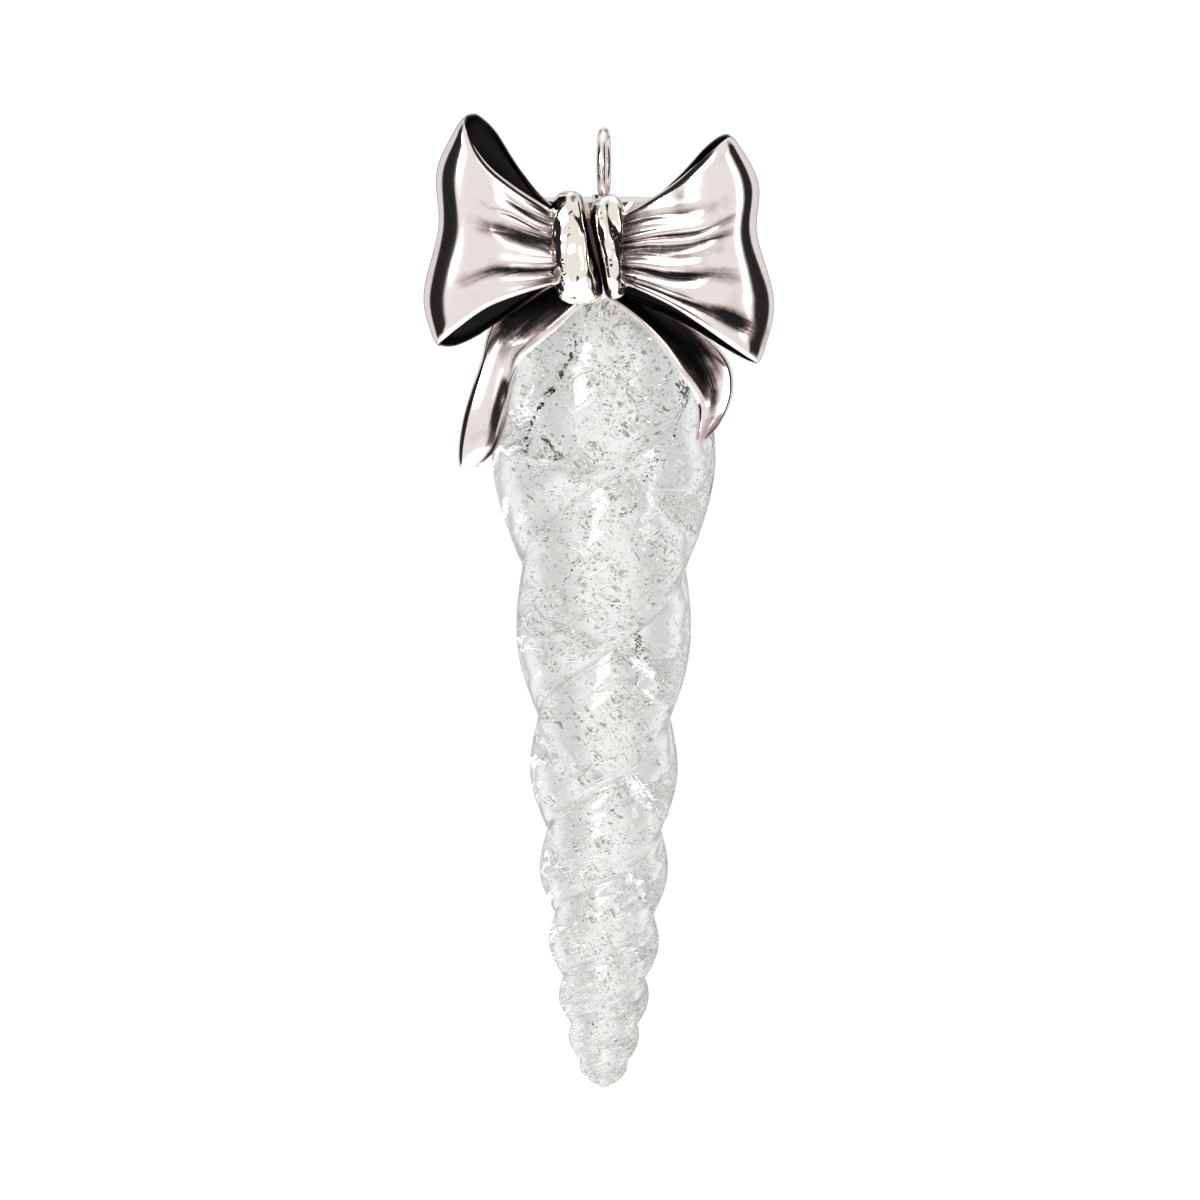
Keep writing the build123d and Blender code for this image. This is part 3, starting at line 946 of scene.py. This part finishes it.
class IcicleGlassSettings(bpy.types.PropertyGroup):
    """How the glass and what is in it are made."""

    around: bpy.props.IntProperty(
        name="Points around", description="Points round one ring of the glass", default=144
    )
    step: bpy.props.FloatProperty(
        name="Turn a ring", description="Degrees that the strands turn from ring to ring", default=6.5
    )
    flakes: bpy.props.IntProperty(
        name="Leaf scraps", description="Scraps of silver leaf in the glass", default=12000
    )
    dark_flakes: bpy.props.IntProperty(
        name="Dark scraps", description="Scraps of tarnished leaf in the glass", default=900
    )
    seed: bpy.props.IntProperty(name="Seed", description="Start of the scatter", default=11)
    tint: bpy.props.FloatVectorProperty(
        name="Glass tint", description="Colour of the glass", subtype="COLOR", default=(0.97, 0.98, 0.985)
    )


class IcicleSilverSettings(bpy.types.PropertyGroup):
    """Colours of the silver and the thickness of the sheet."""

    sheet: bpy.props.FloatProperty(
        name="Sheet", description="Thickness of the ribbon's sheet in millimetres", default=0.58
    )
    ribbon: bpy.props.FloatVectorProperty(
        name="Ribbon", description="Silver of the bow", subtype="COLOR", default=(0.93, 0.86, 0.84)
    )
    # Dark colour of the ribbons' creases and of the knot's pits and groove; on the ribbons it is tarnished
    # silver together with painted shade.
    tarnish: bpy.props.FloatVectorProperty(
        name="Tarnish", description="Tarnish in the creases", subtype="COLOR", default=(0.10, 0.085, 0.08)
    )
    knot: bpy.props.FloatVectorProperty(
        name="Knot", description="Silver of the knot", subtype="COLOR", default=(0.94, 0.91, 0.86)
    )
    # Brown that the ring turns towards its foot.
    foot_brown: bpy.props.FloatVectorProperty(
        name="Heat tint", description="Brown at the ring's foot", subtype="COLOR", default=(0.60, 0.47, 0.40)
    )


class IcicleStageSettings(bpy.types.PropertyGroup):
    """The camera, the floor and the light."""

    distance: bpy.props.FloatProperty(
        name="Camera distance", description="From the camera to the ornament", unit="LENGTH", default=1.0
    )
    elevation: bpy.props.FloatProperty(
        name="Camera elevation",
        description="Height of the camera above the horizon",
        subtype="ANGLE",
        default=math.radians(6.0),
    )
    frame_width: bpy.props.FloatProperty(
        name="Frame width", description="Width seen at the ornament", unit="LENGTH", default=0.1884
    )
    drop: bpy.props.FloatProperty(
        name="Floor below", description="From the tip down to the floor", unit="LENGTH", default=0.35
    )
    key: bpy.props.FloatProperty(
        name="Key light", description="Power of the tall soft light", unit="POWER", default=4.4
    )


# ---------------------------------------------------------------- one operator a piece


SENSOR = 36.0  # width of the camera's sensor in millimetres
AIM_ASIDE = -0.0006  # the camera looks a little left of the axis and above the middle
AIM_ABOVE = 0.0005
FLOOR_RADIUS = 0.6


class ORNAMENT_OT_stage(bpy.types.Operator):
    """Camera, pale floor and soft studio light"""

    bl_idname = "ornament.stage"
    bl_label = "Stage"

    def execute(self, context):
        settings = context.scene.icicle_stage
        low, high = CAD_BOX
        aim = Vector((AIM_ASIDE, 0, (low.z + high.z) / 2 + AIM_ABOVE))
        back = Vector((0, -math.cos(settings.elevation), math.sin(settings.elevation)))
        camera = bpy.data.cameras.new("camera")
        camera.sensor_width = SENSOR
        camera.lens = SENSOR * settings.distance / settings.frame_width
        camera.clip_end = 50.0
        eye = bpy.data.objects.new("camera", camera)
        eye.location = aim + back * settings.distance
        eye.rotation_euler = (math.radians(90) - settings.elevation, 0, 0)
        context.collection.objects.link(eye)
        context.scene.camera = eye
        self.make_floor(low.z - settings.drop)
        self.make_light(context, aim, settings.key)
        context.scene.view_settings.view_transform = "Standard"
        for kind in ("max_bounces", "glossy_bounces", "transmission_bounces"):
            setattr(context.scene.cycles, kind, LIGHT_BOUNCES)
        return {"FINISHED"}

    def make_floor(self, height):
        how = {"vertices": 96, "radius": FLOOR_RADIUS, "fill_type": "NGON"}
        floor = started("floor", bpy.ops.mesh.primitive_circle_add, **how)
        bpy.ops.mesh.select_all(action="SELECT")
        bpy.ops.transform.translate(value=(0, 0, height))
        bpy.ops.object.mode_set(mode="OBJECT")
        floor.data.materials.append(room_finish(0.93))

    def make_light(self, context, aim, key):
        world = bpy.data.worlds.new("room")
        context.scene.world = world
        tree = Tree(world)
        way = tree.node("ShaderNodeTexCoord", output=0)
        x, y, z = (tree.node("ShaderNodeSeparateXYZ", {}, {0: way}, output=i) for i in range(3))
        bearing = x.maths("ARCTAN2", x, 0 - y) * math.degrees(1)

        def band(low, high, soft):
            return (bearing - low).step(-soft, soft) * (high - bearing).step(-soft, soft)

        walls = band(-102, -38, 5) + band(50, 94, 5)
        corners = (band(-166, -146, 5) + band(146, 166, 5)) * 0.55
        middle = 1 - z.maths("ABSOLUTE", z - 0.05).step(0.55, 0.85)
        back = y.step(-0.2, 0.6)
        silver_light = 0.86 - back * 0.10 - (walls + corners) * middle * (0.84 - back * 0.10)
        strips = band(-132, -120, 6) + band(116, 128, 6)
        below = 1 - z.step(-0.5, -0.2)
        above = z.step(0.3, 0.55) * (1 - z.step(0.7, 0.9))
        glass_light = 0.98 - back * 0.08 - (walls + corners + strips) * middle * 0.36
        glass_light = glass_light - below * 0.22 - above * 0.16
        lit = {"Color": (1, 0.99, 0.985, 1)}
        for_silver = tree.node("ShaderNodeBackground", {}, {**lit, "Strength": silver_light})
        for_glass = tree.node("ShaderNodeBackground", {}, {**lit, "Strength": glass_light})
        backdrop = tree.node("ShaderNodeBackground", {}, {"Color": (1, 1, 1, 1), "Strength": 1.1})
        seen = tree.node("ShaderNodeLightPath", output=0)
        bent = tree.node("ShaderNodeLightPath", output=6)
        room = tree.node("ShaderNodeMixShader", {}, {0: bent, 1: for_silver, 2: for_glass})
        both = tree.node("ShaderNodeMixShader", {}, {0: seen, 1: room, 2: backdrop})
        tree.node("ShaderNodeOutputWorld", {}, {0: both}, output=None)
        for name, place, size, power in (
            ("key_light", (-0.45, -0.9, 0.36), (0.45, 0.6), key),
            ("fill_light", (0.62, -0.8, 0.1), (0.2, 0.5), key * 0.2),
            ("top_light", (0.1, 0.15, 0.95), (0.6, 0.8), key),
        ):
            lamp = bpy.data.lights.new(name, "AREA")
            lamp.shape = "ELLIPSE"
            lamp.size, lamp.size_y = size
            lamp.energy = power
            lit = bpy.data.objects.new(name, lamp)
            lit.location = aim + Vector(place)
            lit.rotation_euler = (-Vector(place)).to_track_quat("-Z", "Y").to_euler()
            lit.visible_camera = False
            lit.visible_transmission = name != "key_light"
            context.collection.objects.link(lit)


class ORNAMENT_OT_glass(bpy.types.Operator):
    """The clear twisted drop"""

    bl_idname = "ornament.glass"
    bl_label = "Glass"

    def execute(self, context):
        settings = context.scene.icicle_glass
        piece = make_glass(settings.around, settings.step)
        placed(piece, clear_glass_finish(settings.tint), "leaf_glass", "glass_icicle")
        return {"FINISHED"}


class ORNAMENT_OT_leaf(bpy.types.Operator):
    """Silver leaf, bright and tarnished, on the cores of the strands"""

    bl_idname = "ornament.leaf"
    bl_label = "Silver leaf"

    def execute(self, context):
        settings = context.scene.icicle_glass
        # The bright scraps glow faintly (0.13): painted light standing in for sparkle.
        bright = leaf_finish("bright_leaf", (0.97, 0.94, 0.82), (0.98, 0.98, 0.98), 0.35, 0.13)
        dark = leaf_finish("dark_leaf", (0.012, 0.012, 0.012), (0.10, 0.095, 0.09), 0.45)
        # name, scraps, sizes, how deep in a strand, scale of the clouds, how much is clear, finish
        batches = (
            ("leaf_shell", settings.flakes * 5 // 4, (0.08, 0.50), (0.44, 0.60), 0.30, 0.08, bright),
            ("leaf_dust", settings.flakes * 3 // 2, (0.05, 0.18), (0.36, 0.66), 0.24, 0.04, bright),
            ("leaf_inside", settings.flakes // 3, (0.08, 0.60), (0.05, 0.45), 0.25, 0.06, bright),
            ("leaf_dark", settings.dark_flakes, (0.06, 0.24), (0.46, 0.62), 0.30, 0.22, dark),
        )
        for i, (name, count, sizes, depths, cloud, threshold, finish) in enumerate(batches):
            piece = scattered(name, count, settings.seed + i, sizes, depths, cloud, threshold)
            placed(piece, finish, "polished_silver")
        placed(fleck_runs("leaf_dark_runs", settings.seed), dark, "polished_silver")
        return {"FINISHED"}


class ORNAMENT_OT_bow(bpy.types.Operator):
    """The bow's two loops and two tails"""

    bl_idname = "ornament.bow"
    bl_label = "Bow ribbons"

    def execute(self, context):
        settings = context.scene.icicle_silver
        finish = silver_finish("ribbon_silver", settings.ribbon, settings.tarnish, 0.11, "tarnish")
        loop = {"detail": (190, 110), "rim": 0.055, "inside": loop_middle}
        tail = {"detail": (100, 48), "rim": 0.12, "inside": glass_axis}
        for node, rows, creases, reach, shape in (
            ("bow_loop_left", LOOP_LEFT, CREASES_LEFT, 0.30, loop),
            ("bow_loop_right", LOOP_RIGHT, CREASES_RIGHT, 0.34, loop),
            ("bow_tail_left", TAIL_LEFT, CREASES_TAIL_LEFT, 0.75, tail),
            ("bow_tail_right", TAIL_RIGHT, CREASES_TAIL_RIGHT, 0.80, tail),
        ):
            thickness = settings.sheet
            piece = make_ribbon(node + "_sheet", rows, creases, thickness=thickness, reach=reach, **shape)
            placed(piece, finish, "ribbon_silver", node)
        return {"FINISHED"}


class ORNAMENT_OT_knot(bpy.types.Operator):
    """The two folds of the knot"""

    bl_idname = "ornament.knot"
    bl_label = "Knot"

    def execute(self, context):
        settings = context.scene.icicle_silver
        finish = knot_finish(settings.knot, [shade * 0.25 for shade in settings.tarnish])
        for node, rings in (("knot_fold_left", FOLD_LEFT), ("knot_fold_right", FOLD_RIGHT)):
            placed(make_fold(node + "_cast", rings, 24), finish, "knot_silver", node)
        return {"FINISHED"}


class ORNAMENT_OT_cap(bpy.types.Operator):
    """Finishes of the cap, the ring and its swivel"""

    bl_idname = "ornament.cap"
    bl_label = "Cap and ring"

    def execute(self, context):
        settings = context.scene.icicle_silver
        cap = silver_finish("cap_silver", settings.ribbon, settings.tarnish, 0.16)
        low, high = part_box("hanging_ring")
        # The knot's bracket gets near-black silver: painted shade of the recess it sits in.
        recess = silver_finish("recess_painted_shade", (0.10, 0.085, 0.08), (0.03, 0.027, 0.026), 0.25)
        wire = ring_finish(settings.ribbon, settings.foot_brown, low.z, low.z + (high.z - low.z) * 0.45)
        for node, finish in (
            ("cap_top_plate", cap),
            ("cap_band", cap),
            ("knot_bracket", recess),
            ("swivel_washer", cap),
            ("swivel_post", cap),
            ("hanging_ring", wire),
            ("neck_cement", cement_finish()),
        ):
            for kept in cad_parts[node].material_slots:
                kept.material = finish
        return {"FINISHED"}


class ORNAMENT_PT_panel(bpy.types.Panel):
    """Lists the ornament's pieces in the sidebar"""

    bl_idname = "ORNAMENT_PT_panel"
    bl_label = "Glass icicle"
    bl_space_type = "VIEW_3D"
    bl_region_type = "UI"
    bl_category = "Ornament"

    def draw(self, context):
        for maker in MAKERS:
            self.layout.operator(maker.bl_idname)
        for group in (context.scene.icicle_glass, context.scene.icicle_silver, context.scene.icicle_stage):
            for key in group.bl_rna.properties.keys():
                if key not in {"rna_type", "name"}:
                    self.layout.prop(group, key)


MAKERS = (
    ORNAMENT_OT_stage,
    ORNAMENT_OT_cap,
    ORNAMENT_OT_knot,
    ORNAMENT_OT_bow,
    ORNAMENT_OT_glass,
    ORNAMENT_OT_leaf,
)
GROUPS = {
    "icicle_glass": IcicleGlassSettings,
    "icicle_silver": IcicleSilverSettings,
    "icicle_stage": IcicleStageSettings,
}


def register():
    for group in GROUPS.values():
        bpy.utils.register_class(group)
    for maker in MAKERS:
        bpy.utils.register_class(maker)
    bpy.utils.register_class(ORNAMENT_PT_panel)
    for name, group in GROUPS.items():
        setattr(bpy.types.Scene, name, bpy.props.PointerProperty(type=group))


def unregister():
    for name in GROUPS:
        delattr(bpy.types.Scene, name)
    bpy.utils.unregister_class(ORNAMENT_PT_panel)
    for kind in MAKERS + tuple(GROUPS.values()):
        bpy.utils.unregister_class(kind)


def main():
    register()
    for maker in MAKERS:
        area, name = maker.bl_idname.split(".")
        getattr(getattr(bpy.ops, area), name)()


if __name__ == "__main__":
    main()
